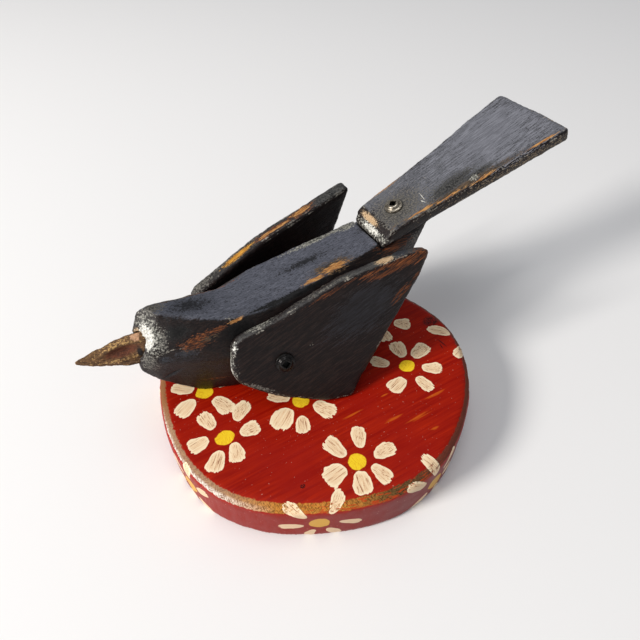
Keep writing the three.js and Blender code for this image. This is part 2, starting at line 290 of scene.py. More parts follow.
# Every point of the board keeps where it lies in the petal nearest to it, along and across the
# petal, with its distance from the petal's middle, and its distance from the nearest eye. Petals
# are narrower towards the eye. A distance of 1 is the edge of a petal or an eye.
points = np.empty(len(board.data.vertices) * 3, np.float32)
board.data.vertices.foreach_get("co", points)
points = points.reshape(-1, 3) * 1000
directions = np.arctan2(points[:, 1], points[:, 0])
inset = np.maximum(0, board_edge(directions) - np.hypot(points[:, 0], points[:, 1]))
wrapped = np.column_stack(
    (round_the_edge(np.degrees(directions)), points[:, 2] + inset, np.zeros(len(points)))
)
TOP_EYE, EDGE_EYE = (4.9, 4.4), (5.3, 5.0)
REACH_DOWN = 9.0  # how far the daisies on the top reach down over the corner
DAISIES = [(points, (*eye, BOARD_HEIGHT), TOP_EYE, petals) for eye, petals in TOP_DAISIES] + [
    (wrapped, (round_the_edge(direction), height, 0), EDGE_EYE, petals)
    for direction, height, petals in EDGE_DAISIES
]
in_petal = np.full((len(points), 3), 9.0, np.float32)
in_eye = np.full(len(points), 9.0, np.float32)


def inside(surface, middle, along, half):
    """Places along and across an oval turned to a direction, and below its level."""
    offset = surface - np.array(middle)
    turn = math.radians(along)
    outwards = (offset[:, 0] * math.cos(turn) + offset[:, 1] * math.sin(turn)) / half[0]
    across = (offset[:, 1] * math.cos(turn) - offset[:, 0] * math.sin(turn)) / half[1]
    return outwards, across, offset[:, 2] / REACH_DOWN


for surface, eye, half, petals in DAISIES:
    outwards, across, below = inside(surface, eye, 0, half)
    in_eye = np.minimum(in_eye, np.sqrt(outwards**2 + across**2 + below**2))
    for at, along, far, length, width in petals:
        middle = (
            eye[0] + far * math.cos(math.radians(at)),
            eye[1] + far * math.sin(math.radians(at)),
            eye[2],
        )
        outwards, across, below = inside(surface, middle, along, (length / 2, width / 2))
        narrowed = across / np.interp(outwards, (-1, 0.3), (0.62, 1))
        distance = np.sqrt(np.abs(narrowed) ** 2.6 + np.abs(outwards) ** 4 + below**2)
        closer = distance < in_petal[:, 2]
        in_petal[closer] = np.column_stack((outwards, across, distance))[closer]
for name, kind, values in (
    ("unrolled", "FLOAT_VECTOR", wrapped), ("petal", "FLOAT_VECTOR", in_petal), ("eye", "FLOAT", in_eye)
):
    kept = board.data.attributes.new(name, kind, "POINT")
    kept.data.foreach_set("vector" if values.ndim > 1 else "value", values.astype(np.float32).ravel())

red_enamel, tree, shader = finish_of("brushed_red_enamel", IOR=1.5, Specular_IOR_Level=0.12)
place = millimetres(tree)
wrap = add(tree, "Attribute", attribute_name="unrolled").node.outputs["Vector"]
spot = add(tree, "Attribute", attribute_name="petal").node.outputs["Vector"]
eye_closest = add(tree, "Attribute", attribute_name="eye").node.outputs["Fac"]

# The petals: pale where the brush pressed the paint out to the edge, thin and scratched in the
# middle, and torn by the bristles at the outer end
axes = add(tree, "SeparateXYZ", spot).node.outputs
outwards, petal_distance = axes[0], axes[2]
drift = add(tree, "VectorMath", place, 0.11, operation="SCALE")
bristles = add(tree, "VectorMath", spot, (0.5, 3.0, 0.0), drift, operation="MULTIPLY_ADD")
torn = add(tree, "TexNoise", bristles, 1.5, 2.0, 0.6)
hand = add(tree, "TexNoise", place, 0.2, 2.0)
outer_end = add(tree, "MapRange", outwards, 0.2, 0.9)
raggedness = add(tree, "Math", outer_end, add(tree, "MapRange", torn, 0.48, 0.7), operation="MULTIPLY")
shape = add(tree, "Math", raggedness, 0.34, petal_distance, operation="MULTIPLY_ADD")
shape = add(tree, "Math", hand, 0.7, shape, operation="MULTIPLY_ADD")
petal = add(tree, "MapRange", shape, 1.37, 1.31)
hairs = add(tree, "VectorMath", spot, (0.9, 4.6, 0.0), drift, operation="MULTIPLY_ADD")
hairs = add(tree, "TexNoise", hairs, 1.6, 4.0, 0.68, 2.0, 0.6)
middle = add(tree, "MapRange", shape, 1.25, 0.8)
thin_paint = add(tree, "Math", add(tree, "MapRange", hairs, 0.3, 0.7), middle, operation="MULTIPLY")
cream = add(tree, "Mix", thin_paint, colour("#FFEBC6"), colour("#E2B080"), data_type="RGBA")
scratches = add(tree, "Math", add(tree, "MapRange", hairs, 0.55, 0.62), middle, operation="MULTIPLY")
cream = add(tree, "Mix", scratches, cream, colour("#A06E54"), data_type="RGBA")
eye_edge = add(tree, "Math", hand, 0.5, eye_closest, operation="MULTIPLY_ADD")
eye = add(tree, "MapRange", eye_edge, 1.27, 1.19)
dabs = add(tree, "MapRange", hairs, 0.45, 0.7)
yellow = add(tree, "Mix", dabs, colour("#FBD52B"), colour("#DDA11C"), data_type="RGBA")

# The enamel: strokes along the grain, a few thin places where the orange undercoat shows, and dust
height = add(tree, "SeparateXYZ", wrap).node.outputs[1]
direction = add(tree, "SeparateXYZ", wrap).node.outputs[0]
strokes = streaks(tree, place, (30, 1.6, 8), 4.0, 0.6)
cloud = add(tree, "TexNoise", place, 0.035, 2.0)
brushed = add(tree, "MapRange", strokes, 0.35, 0.7)
red = add(tree, "Mix", brushed, colour("#8E0D01"), colour("#AE2102"), data_type="RGBA")
thicker = add(tree, "MapRange", cloud, 0.42, 0.65, 0.0, 0.6)
red = add(tree, "Mix", thicker, red, colour("#961104"), data_type="RGBA")
# Painted shade on the edge below the top corner: a duller red that turns mauve towards the right.
painted_shade_to_right = add(tree, "MapRange", direction, round_the_edge(-125), round_the_edge(-60))
edge_red_in_painted_shade = add(tree, "Mix", painted_shade_to_right, colour("#8A241D"), colour("#76393B"), data_type="RGBA")
sawn = streaks(tree, wrap, (0.7, 3.0, 1), 3.0, turn=(0, 0, math.radians(12)))
sawn = add(tree, "MapRange", sawn, 0.5, 0.66, 0.0, 0.6)
edge_red_in_painted_shade = add(tree, "Mix", sawn, edge_red_in_painted_shade, colour("#7E211A"), data_type="RGBA")
painted_shade_low_edge = add(tree, "MapRange", height, 26.0, 22.5, 0.0, 0.9)
red = add(tree, "Mix", painted_shade_low_edge, red, edge_red_in_painted_shade, data_type="RGBA")
thin_places = near(tree, place, [
    ((48, -50, 29), (9, 1.3, 9)), ((20.5, -51, 29), (8, 1.3, 9)), ((35, -66.8, 29), (4, 1.4, 9)),
    ((31, -57, 29), (13, 1.6, 9)), ((2, -38, 29), (10, 1.2, 9)), ((24, -36, 29), (3.6, 1.2, 9)),
])
thin_places = add(tree, "Math", strokes, 2.4, thin_places, operation="MULTIPLY_ADD")
undercoat = add(tree, "MapRange", thin_places, 1.5, 1.95, 0.0, 0.8)
red = add(tree, "Mix", undercoat, red, colour("#C85A12"), data_type="RGBA")
dust = add(tree, "MapRange", add(tree, "TexNoise", place, 0.9, 1.0), 0.73, 0.77, 0.0, 0.5)
red = add(tree, "Mix", dust, red, colour("#D9A08E"), data_type="RGBA")
# Petals and eyes on the edge are greyer and duller: painted shade.
cream = add(tree, "Mix", painted_shade_low_edge, cream, colour("#DDBF9C"), data_type="RGBA")
yellow = add(tree, "Mix", painted_shade_low_edge, yellow, colour("#CC9A48"), data_type="RGBA")
painted = add(tree, "Mix", petal, red, cream, data_type="RGBA")
painted = add(tree, "Mix", eye, painted, yellow, data_type="RGBA")

# A dark knot at the back of the top, a small one in front, and two drying cracks
knot = near(tree, place, [((82.3, -4.0, 29), (6.5, 5.0, 9)), ((-40.4, -60, 29), (1.6, 1.4, 9))])
rings = add(tree, "TexNoise", place, 0.75, 3.0, 0.7, 2.0, 1.5)
knot_dark = add(tree, "MapRange", rings, 0.4, 0.55)
knot_dark = add(tree, "Math", add(tree, "MapRange", knot, 0.05, 0.4), knot_dark, operation="MULTIPLY")
painted = add(tree, "Mix", knot_dark, painted, colour("#2A0A0C"), data_type="RGBA")
cracks = near(tree, place, [
    ((76.6, -22, 29), (0.5, 4.5, 9), (0, 0, 8)), ((74.4, -24, 29), (0.4, 2.5, 9), (0, 0, -12)),
])
cracks = add(tree, "MapRange", cracks, 0.0, 0.5)
painted = add(tree, "Mix", cracks, painted, colour("#3A0D12"), data_type="RGBA")

# The rasped edge: pale at the left, where the whitish outer half is a painted highlight, golden in
# front and smooth brown at the right, crossed by the marks of the rasp, with orange scraps of paint
# along its lower border
rim = add(tree, "MapRange", direction, round_the_edge(-150), round_the_edge(-168), 29.3, 30.6)
from_rim = add(tree, "Math", add(tree, "Math", height, rim, operation="SUBTRACT"), operation="ABSOLUTE")
frayed = add(tree, "TexNoise", wrap, 0.42, 4.0, 0.65)
from_rim = add(tree, "Math", frayed, 3.4, from_rim, operation="MULTIPLY_ADD")
narrowing = add(tree, "MapRange", direction, round_the_edge(-90), round_the_edge(-50), 0.0, 1.3)
from_rim = add(tree, "Math", from_rim, narrowing, operation="ADD")
narrowing = add(tree, "MapRange", direction, round_the_edge(-150), round_the_edge(-168), 0.0, 1.0)
from_rim = add(tree, "Math", from_rim, narrowing, operation="ADD")
worn_rim = add(tree, "MapRange", from_rim, 5.6, 5.0)
saw_marks = streaks(tree, wrap, (0.55, 3.4, 1), 2.0, turn=(0, 0, math.radians(28)))
cross_marks = streaks(tree, wrap, (0.5, 3.6, 1), 2.0, turn=(0, 0, math.radians(-34)))
saw_marks = add(tree, "MapRange", saw_marks, 0.5, 0.62)
cross_marks = add(tree, "MapRange", cross_marks, 0.52, 0.64)
hatching = add(tree, "Math", saw_marks, cross_marks, operation="MAXIMUM")
# The whitish lower half of the pale rim is a painted highlight, over the tan wood of the upper half.
inner_half = add(tree, "MapRange", height, 28.6, 30.4)
painted_highlight_and_tan = add(tree, "Mix", inner_half, colour("#E2D9CD"), colour("#A88464"), data_type="RGBA")
pale_wood_with_painted_highlight = add(tree, "Mix", hatching, painted_highlight_and_tan, colour("#8D6650"), data_type="RGBA")
gold_wood = add(tree, "Mix", hatching, colour("#C98538"), colour("#7A4F1E"), data_type="RGBA")
olive_wood = add(tree, "Mix", hatching, colour("#6A4F2C"), colour("#44301C"), data_type="RGBA")
to_front = add(tree, "MapRange", direction, round_the_edge(-152), round_the_edge(-132))
to_right = add(tree, "MapRange", direction, round_the_edge(-108), round_the_edge(-92))
to_back = add(tree, "MapRange", direction, round_the_edge(-88), round_the_edge(-70))
to_left = add(tree, "MapRange", direction, round_the_edge(178), round_the_edge(166))
bare = add(tree, "Mix", to_left, pale_wood_with_painted_highlight, colour("#8F5E3B"), data_type="RGBA")
bare = add(tree, "Mix", to_front, bare, gold_wood, data_type="RGBA")
bare = add(tree, "Mix", to_right, bare, olive_wood, data_type="RGBA")
bare = add(tree, "Mix", to_back, bare, colour("#70382A"), data_type="RGBA")
ember = streaks(tree, wrap, (5, 1.2, 1), 3.0)
ember = add(tree, "Math", add(tree, "MapRange", height, 29.5, 26.0, 0.0, 0.12), ember, operation="ADD")
ember = add(tree, "MapRange", ember, 0.56, 0.61, 0.0, 0.9)
in_front = near(tree, wrap, [((round_the_edge(-98), 27.5, 0), (46, 9, 1))])
ember = add(tree, "Math", ember, add(tree, "MapRange", in_front, 0.0, 0.4), operation="MULTIPLY")
bare = add(tree, "Mix", ember, bare, colour("#C2451A"), data_type="RGBA")
whole_petal = add(tree, "Math", petal, add(tree, "MapRange", frayed, 0.62, 0.5), operation="MULTIPLY")
whole_petal = add(tree, "Math", 1.0, whole_petal, operation="SUBTRACT")
worn_rim = add(tree, "Math", worn_rim, whole_petal, operation="MULTIPLY")
surface = add(tree, "Mix", worn_rim, painted, bare, data_type="RGBA")
tree.links.new(surface, shader.inputs["Base Color"])
dull = add(tree, "MapRange", strokes, 0.3, 0.7, 0.36, 0.5)
dull = add(tree, "Mix", worn_rim, dull, 0.7)
tree.links.new(dull, shader.inputs["Roughness"])
ridges = add(tree, "Math", petal, 0.8, operation="MULTIPLY")
relief = add(tree, "Math", hairs, ridges, strokes, operation="MULTIPLY_ADD")
rasped = add(tree, "Math", worn_rim, -1.2, operation="MULTIPLY")
relief = add(tree, "Math", hatching, rasped, relief, operation="MULTIPLY_ADD")
relief = add(tree, "Math", knot_dark, -1.5, relief, operation="MULTIPLY_ADD")
bump = add(tree, "Bump", Strength=0.5, Distance=0.0002, Height=relief)
tree.links.new(bump, shader.inputs["Normal"])
board.data.materials.append(red_enamel)
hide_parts("base")
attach(board, "root")


# Body: one block of softwood, sawn to its outline and trimmed with a knife. Black paint is rubbed
# over it by hand and worn to the wood along the corners; its lighter, bluish back is a painted sheen.
BIRD = (-6.7, 30.7, 29.0)


# What shows where the paint is worn, and the painted sheen, glints and shade: two colours, how far
# the grain and the grit tear its border, and how rough it is
BARE_WOOD = ("#94602F", "#C99A60", 2.6, 0.8, 0.7)
TAN_WOOD = ("#AA8A66", "#D9BF9B", 1.6, 1.0, 0.7)
RUST_WOOD = ("#3A1C0D", "#8C5028", 2.6, 1.8, 0.6)
THIN_PAINT = ("#2C261F", "#6A5641", 2.6, 1.6, 0.55)
SAWN_SIDE = ("#2A241E", "#93826B", 1.4, 3.0, 0.6)
# Painted sheen: a paler grey on a top that faces the light
PAINTED_PALE_SHEEN = ("#62636A", "#808189", 3.4, 1.6, 0.45)
# Painted highlight in broad patches, and thin white scratches in narrow ones
SCRATCHES_AND_PAINTED_HIGHLIGHT = ("#A3A199", "#E9E7DE", 0.6, 0.9, 0.3)
GOLDEN_WOOD = ("#A8701F", "#D8A040", 1.2, 0.8, 0.55)
RUBBED_BROWN = ("#2A1710", "#75401F", 3.4, 1.6, 0.55)
# Painted glint: silver grey speckle where the light catches an edge
PAINTED_SILVER_GLINT = ("#77766F", "#E6E4DC", 0.8, 1.6, 0.34)
# Painted glint: pale grey speckle where the light catches the paint
PAINTED_GLINT = ("#1A1A18", "#A3A197", 1.0, 2.6, 0.36)
DULL_GREY = ("#181716", "#716D66", 1.6, 3.4, 0.5)
# Painted sheen: a bluish grey over the black paint
PAINTED_GREY_SHEEN = ("#212227", "#34363D", 1.6, 1.6, 0.4)
# Painted shade: near black where shadow falls
PAINTED_SHADE_BLACK = ("#070606", "#121010", 2.4, 1.6, 0.5)
SOOTY = ("#0A0A0A", "#504F4D", 2.0, 2.6, 0.5)
# Painted sheen: a faint bluish grey over the black paint
PAINTED_BLUE_SHEEN = ("#1B191B", "#2B2A2F", 2.6, 1.2, 0.42)
SCRATCHED = ("#131316", "#2C2D32", 4.6, 3.6, 0.5)


def weathered_black(name, seat, grain, top, wear, rub=1.6):
    """Black paint over softwood. Places are in mm along the piece's own axes: grain turns the grain
    from the first axis, the fourth argument gives the two colours of a painted sheen on what faces up,
    wear lists what shows through the paint, and the painted sheen, glints and shade, and where, and
    rub is the width of the worn corners, whose pale grit is partly painted glints."""
    material, tree, shader = finish_of(name, IOR=1.5, Specular_IOR_Level=0.28)
    point = millimetres(tree, *seat)
    grain = [math.radians(g) for g in grain]
    fibres = streaks(tree, point, (7, 0.55, 0.55), 4.0, 0.62, turn=grain)
    flecks = streaks(tree, point, (1.7, 0.5, 0.5), 3.0, 0.6, turn=grain)
    cloud = add(tree, "TexNoise", point, 0.05, 3.0)
    grit = add(tree, "TexNoise", point, 0.95, 3.0, 0.65)
    # What faces up gets a lighter, bluish colour, a painted sheen; the sides keep the paint's warm black.
    normal = tree.nodes.new("ShaderNodeNewGeometry").outputs["Normal"]
    painted_sheen_share = add(tree, "SeparateXYZ", normal).node.outputs[2]
    painted_sheen_share = add(tree, "Math", cloud, 0.3, painted_sheen_share, operation="MULTIPLY_ADD")
    painted_sheen_share = add(tree, "Math", grit, 0.5, painted_sheen_share, operation="MULTIPLY_ADD")
    painted_sheen_share = add(tree, "MapRange", painted_sheen_share, 1.18, 1.34)
    lines = add(tree, "MapRange", fibres, 0.44, 0.68)
    sides = add(tree, "Mix", lines, colour("#110B0B"), colour("#2E211D"), data_type="RGBA")
    tops = add(tree, "Mix", lines, *(colour(c) for c in top), data_type="RGBA")
    paint = add(tree, "Mix", painted_sheen_share, sides, tops, data_type="RGBA")
    specks = add(tree, "MapRange", flecks, 0.55, 0.64, 0.0, 0.8)
    paint = add(tree, "Mix", specks, paint, colour("#100F12"), data_type="RGBA")
    dull = add(tree, "MapRange", flecks, 0.35, 0.65, 0.34, 0.5)
    # Along the corners grit mixes in pale grey: partly worn paint, partly painted glints.
    edge = add(tree, "Attribute", attribute_name="edge").node.outputs["Fac"]
    stretches = add(tree, "TexNoise", point, 0.09, 1.0)
    corner = add(tree, "Math", stretches, 3.4, add(tree, "MapRange", edge, rub, 0.2), operation="MULTIPLY_ADD")
    corner = add(tree, "Math", grit, 1.6, corner, operation="MULTIPLY_ADD")
    corner = add(tree, "MapRange", corner, 3.45, 3.8)
    coarse = add(tree, "MapRange", grit, 0.4, 0.62)
    rubbed = add(tree, "Mix", coarse, colour("#3A3631"), colour("#9C978C"), data_type="RGBA")
    paint = add(tree, "Mix", corner, paint, rubbed, data_type="RGBA")
    # The spots hold worn paint and also painted sheen, glints and shade; together they sink the relief.
    worn_and_painted_light = 0.0
    for (dark, light, torn, gritty, roughness), spots in wear:
        border = add(tree, "Math", fibres, torn, near(tree, point, spots), operation="MULTIPLY_ADD")
        border = add(tree, "Math", grit, gritty, border, operation="MULTIPLY_ADD")
        start = (torn + gritty) / 2 + 0.1
        share = add(tree, "MapRange", border, start, start + 0.3)
        uneven = lines if torn > gritty else coarse
        shade = add(tree, "Mix", uneven, colour(dark), colour(light), data_type="RGBA")
        paint = add(tree, "Mix", share, paint, shade, data_type="RGBA")
        dull = add(tree, "Mix", share, dull, roughness)
        worn_and_painted_light = add(tree, "Math", worn_and_painted_light, share, operation="MAXIMUM")
    tree.links.new(paint, shader.inputs["Base Color"])
    tree.links.new(dull, shader.inputs["Roughness"])
    relief = add(tree, "Math", grit, 0.5, fibres, operation="MULTIPLY_ADD")
    relief = add(tree, "Math", worn_and_painted_light, -0.5, relief, operation="MULTIPLY_ADD")
    bump = add(tree, "Bump", Strength=0.7, Distance=0.0003, Height=relief)
    tree.links.new(bump, shader.inputs["Normal"])
    return material


body = rubbed_copy("body", "painted_body", 1.0, 2.4, 6)
worked(body, "knife work", 16, 0.8, (2.4, 1, 1))
worked(body, "grain", 1.6, 0.2, (9, 1, 1))
worked(body, "knocked corners", 3.5, 0.9, corners=4)


def gouged(piece, depth, middle, reach, turn):
    """Cuts a hollow into a piece: its depth in mm, and its middle and reach as for a spot."""
    oval = Euler([math.radians(t) for t in turn]).to_matrix()
    for vertex in piece.data.vertices:
        inwards = oval.inverted() @ (vertex.co * 1000 - Vector(middle) - Vector(BIRD))
        far = Vector(i / r for i, r in zip(inwards, reach)).length
        vertex.co += oval.col[1] * (depth / 1000 * max(0, 1 - far**2) ** 1.5)


CRACK = ((-66.5, -12.0, 21.8), (8.5, 2.6, 0.9), (0, -35, -27))
gouged(body, 0.8, *CRACK)
# The bluish patches on the cheek and head are painted sheen, the near-black ones at the neck, the head's side facet
# and the near top corner are painted shade, and the pale ones at the face and the back's far corner are painted
# glints and highlights.
body.data.materials.append(weathered_black(
    "black_paint_on_carved_block", (BIRD, (0, 0, 0)), (0, 0, 0), ("#494B54", "#686A75"),
    [
        (PAINTED_BLUE_SHEEN, [((-58, -15, 26), (18, 6, 11)), ((-40, -18, 24), (14, 5, 8))]),
        (PAINTED_GREY_SHEEN, [((-57.5, -15.6, 36.4), (8, 4, 3)), ((-67, -11, 34), (5, 4, 3))]),
        (PAINTED_SHADE_BLACK, [
            ((-29, -18, 41), (11, 7, 8)), ((-60, -10, 47), (9, 5, 4)), ((-66.5, -9.4, 42), (2.4, 5, 9), (0, 0, -30)),
            ((0, -17.5, 49.5), (34, 2.4, 3), (0, -5, 0)), ((64, -14, 55.5), (10, 3, 2), (0, -6, 0)),
        ]),
        (DULL_GREY, [
            ((-75, -8.5, 33), (4, 5, 7)), ((-65.5, 4, 54.6), (7, 5, 3)), ((96, 0, 60), (6, 14, 12)),
            ((86, -15, 52), (6, 3, 6)), ((-67, -9, 44), (3.0, 5, 8), (0, 0, -30)),
            ((-71, 4, 50), (4, 5, 5)),
        ]),
        (THIN_PAINT, [
            ((29, -12, 53.4), (15, 5.0, 3)), ((-40, 8.4, 51.2), (26, 1.2, 2.4), (0, 7.8, 5.5)),
            ((-50, -16, 41.4), (11, 4, 3.4), (0, -14, 0)),
        ]),
        (RUBBED_BROWN, [
            ((-53, -16, 40.2), (9, 4, 2.4)), ((-45, -15.5, 44.3), (14, 4, 1.5), (0, -10, 0)),
            ((68, -15.5, 54), (12, 5, 4)), ((-48, -17.8, 11.5), (9, 3, 1.0)),
        ]),
        (RUST_WOOD, [
            ((-51.5, -15.2, 42.4), (6, 4, 2.2), (0, -16, 0)), ((-39, -16.6, 45.6), (6, 3, 0.6), (0, -10, 0)),
            ((-32, 8.6, 50), (14, 0.8, 2.4), (0, 7.8, 5.5)),
        ]),
        (BARE_WOOD, [
            ((-30.5, -17.5, 47.2), (5, 3, 0.8), (0, -8, 0)), ((30, -12.9, 53.4), (10, 3.0, 3)),
            ((17, -14.8, 51.6), (9, 1.6, 3)),
        ]),
        (TAN_WOOD, [((-75.8, 0.8, 45), (3, 4.6, 3.6))]),
        (PAINTED_GLINT, [
            ((-71, -3.5, 46), (5.5, 10, 12)), ((36, 12.4, 54.4), (26, 2.2, 2.6), (0, -8, 0)),
            ((52, 11.4, 57), (8, 3.2, 3)),
        ]),
        (SCRATCHES_AND_PAINTED_HIGHLIGHT, [((-72.6, -2.8, 45), (5, 9, 4.8), (48, 0, 0))]),
        (SCRATCHED, [
            ((18, 0, 52), (17, 2.4, 3)), ((-48, 0, 51.6), (12, 5, 3)), ((62, 3, 58), (7, 2, 3)),
            CRACK,
        ]),
    ],
    rub=0.8,
))
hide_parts("body")
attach(body, "root")


# Beak: a split stick, cut to a rough point and glued into a socket in the face. The wood is left
# brown and rough like bark, with torn fibres along it and a paler rim at its root. Its top facet has
# more golden flecks as painted light, and the split on its near side is painted a dark reddish
# brown as shade.
beak = rubbed_copy("beak", "stick_beak", 0.55, 0.6)
lean_degrees = (0, 8.5, 0)
lean = tuple(math.radians(t) for t in lean_degrees)
worked(beak, "torn fibres", 2.6, 1.3, (3.0, 1, 1), lean)
worked(beak, "crumbs", 0.9, 0.5)
SPLIT = ((-85.0, -3.4, 40.2), (11.5, 5, 3.6), (0, -6, -12))
gouged(beak, 2.2, *SPLIT)
rough_stick, tree, shader = finish_of("rough_split_stick", Roughness=0.82, IOR=1.5)
point = millimetres(tree, BIRD)
fibres = streaks(tree, point, (6, 0.7, 0.7), 4.0, 0.7, turn=lean)
crumbs = add(tree, "TexNoise", point, 0.9, 3.0, 0.7)
share = add(tree, "MapRange", fibres, 0.3, 0.7)
bark = add(tree, "Mix", share, colour("#2A180D"), colour("#8A633B"), data_type="RGBA")
# More golden flecks on the top facet: painted light.
top_facet = near(tree, point, [((-92, 0, 44), (18, 5, 3), lean_degrees), ((-90, -3, 35.6), (18, 4, 1.4))])
flecks_and_painted_light = add(tree, "Math", add(tree, "MapRange", top_facet, 0.0, 0.5, 0.0, 0.12), crumbs, operation="ADD")
flecks_and_painted_light = add(tree, "MapRange", flecks_and_painted_light, 0.57, 0.67, 0.0, 0.85)
bark = add(tree, "Mix", flecks_and_painted_light, bark, colour("#CFA668"), data_type="RGBA")
# The split on the near side darkens to reddish brown: painted shade.
split = add(tree, "Math", crumbs, 0.6, near(tree, point, [SPLIT]), operation="MULTIPLY_ADD")
split = add(tree, "MapRange", split, 0.35, 0.6, 0.0, 0.9)
painted_shade_reddish = add(tree, "Mix", share, colour("#2A0F08"), colour("#7A3A1C"), data_type="RGBA")
bark = add(tree, "Mix", split, bark, painted_shade_reddish, data_type="RGBA")
root = near(tree, point, [((-77.2, 0.6, 44.6), (3.2, 4.4, 2.2))])
root = add(tree, "MapRange", add(tree, "Math", crumbs, 1.2, root, operation="MULTIPLY_ADD"), 0.75, 0.95)
bark = add(tree, "Mix", root, bark, colour("#CFA07C"), data_type="RGBA")
gap = add(tree, "MapRange", near(tree, point, [((-77.6, -4.4, 37.6), (1.9, 3, 4.2))]), 0.1, 0.5)
bark = add(tree, "Mix", gap, bark, colour("#170B06"), data_type="RGBA")
tree.links.new(bark, shader.inputs["Base Color"])
relief = add(tree, "Math", crumbs, 0.7, fibres, operation="MULTIPLY_ADD")
bump = add(tree, "Bump", Strength=0.9, Distance=0.0006, Height=relief)
tree.links.new(bump, shader.inputs["Normal"])
beak.data.materials.append(rough_stick)
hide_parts("beak")
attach(beak, "root")


# Wings: two flat boards about 8.5 mm thick, sawn to a leaf outline and sanded, each held against
# the body by one screw. Places are measured from the screw hole, along the board and up it.
def seat(at, turns):
    """Where a board is screwed on, and how its own axes are turned there."""
    x, y, z = (math.radians(t) for t in turns)
    turn = Matrix.Rotation(x, 3, "X") @ Matrix.Rotation(y, 3, "Y") @ Matrix.Rotation(z, 3, "Z")
    return tuple(a + b for a, b in zip(at, BIRD)), turn.to_euler("XYZ")


LEFT_SEAT = seat((-13.65, -32.3, 24.8), (-25.8, 0, -10.4))
RIGHT_SEAT = seat((-14.5, 26, 27.4), (5, 0, 4.8))
WING_GRAIN = (0, -19, 0)


def along_grain(turn, grain):
    """The turn of the grain in the figurine's own axes."""
    inner = Euler([math.radians(g) for g in grain]).to_matrix()
    return (turn.to_matrix() @ inner).to_euler("XYZ")


left_wing = rubbed_copy("left_wing", "painted_left_wing", 0.9, 1.0)
worked(left_wing, "sanding", 18, 0.5)
worked(left_wing, "grain", 1.3, 0.16, (10, 1, 1), along_grain(LEFT_SEAT[1], WING_GRAIN))
worked(left_wing, "knocked corners", 3, 0.9, corners=3)
# The lighter colours on what faces up and the bluish patches are painted sheen, and the pale patches at the front
# edge and along the top are painted glints.
left_wing.data.materials.append(weathered_black(
    "black_paint_on_left_wing", LEFT_SEAT, WING_GRAIN, ("#3C3B3B", "#5A5854"),
    [
        (PAINTED_BLUE_SHEEN, [((48, -8.5, 14), (26, 3, 13), WING_GRAIN)]),
        (PAINTED_GREY_SHEEN, [((73.5, -5, 36.8), (5, 5, 2.2))]),
        (RUBBED_BROWN, [
            ((73, -8.5, 18), (12, 2, 0.9), (0, -36, 0)), ((78, -8.5, 22), (9, 2, 1.0), (0, -36, 0)),
            ((68, -8.5, 17), (7, 2, 0.7), (0, -36, 0)), ((33, -8.5, 28.6), (13, 2, 1.1), (0, -12, 0)),
            ((68, -8.5, 30.2), (20, 2.4, 1.8), (0, -4, 0)),
        ]),
        (RUST_WOOD, [
            ((73, -8, 32.8), (15, 3, 2.2), (0, -2, 0)), ((84, -6, 33), (7, 6, 3.4)),
            ((56, -8.5, 32), (9, 2, 1.0), (0, -8, 0)),
        ]),
        (TAN_WOOD, [((64, -5.5, 35.4), (6, 4, 1.8))]),
        (DULL_GREY, [
            ((14, -3, 28.4), (14, 6, 1.6), (0, -12, 0)),
            ((30, -6.5, 31.4), (16, 1.0, 1.6), (0, -12, 0)),
            ((-16, -8.5, -9), (9, 2, 1.2), (0, 35, 0)),
        ]),
        (PAINTED_GLINT, [
            ((-25.5, -2, 8), (3.4, 6, 12)), ((-13, -3, 22.8), (13, 6, 2.2)),
            ((5, -4, 26.6), (10, 6, 1.2), (0, -12, 0)),
        ]),
        (PAINTED_SILVER_GLINT, [((-21.8, -6, 15), (1.8, 3, 4.4), (0, 20, 0)), ((-26, -4, 3), (1.2, 4, 7))]),
    ],
    rub=1.0,
))
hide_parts("left_wing")
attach(left_wing, "root")

right_wing = rubbed_copy("right_wing", "painted_right_wing", 0.9, 1.0)
worked(right_wing, "sanding", 18, 0.5)
worked(right_wing, "grain", 1.3, 0.16, (10, 1, 1), along_grain(RIGHT_SEAT[1], WING_GRAIN))
worked(right_wing, "knocked corners", 3, 0.9, corners=3)
# Its lighter colours on what faces up are a painted sheen.
right_wing.data.materials.append(weathered_black(
    "black_paint_on_right_wing", RIGHT_SEAT, WING_GRAIN, ("#2E2D2D", "#55524E"),
    [
        (DULL_GREY, [
            ((-18, 5, 9), (8, 4, 5), (0, -30, 0)),
            ((0, 7, 17), (20, 2, 3), (0, -22, 0)),
        ]),
        (SOOTY, [((66, 3, 38.5), (20, 4, 2.6), (0, -12, 0))]),
        (RUST_WOOD, [((30, 3.6, 28.8), (18, 1.8, 1.2), (0, -14, 0)), ((49, 4.2, 33.4), (10, 2.8, 2.0), (0, -12, 0))]),
        (BARE_WOOD, [((30, 3.4, 28.8), (14, 0.9, 0.9), (0, -14, 0)), ((49, 4.2, 33.4), (7, 2.0, 1.5), (0, -12, 0))]),
        (GOLDEN_WOOD, [((5.5, 4.2, 20.2), (14, 2.2, 1.9), (0, -23, 0))]),
    ],
    rub=1.0,
))
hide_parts("right_wing")
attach(right_wing, "root")


# Tail: a flared board of the same stock, bevelled at its front end and let into a notch in the
# back, with the grain lengthwise. Its sawn sides are rougher and browner than its top.
TAIL_SEAT = seat((80, 0, 60.2), (0, -20.7, 0))
tail = rubbed_copy("tail", "painted_tail", 0.9, 1.8, 5)
worked(tail, "sanding", 18, 0.5)
worked(tail, "grain", 1.4, 0.22, (10, 1, 1), along_grain(TAIL_SEAT[1], (0, 0, 0)))
worked(tail, "knocked corners", 3, 0.9, corners=3)
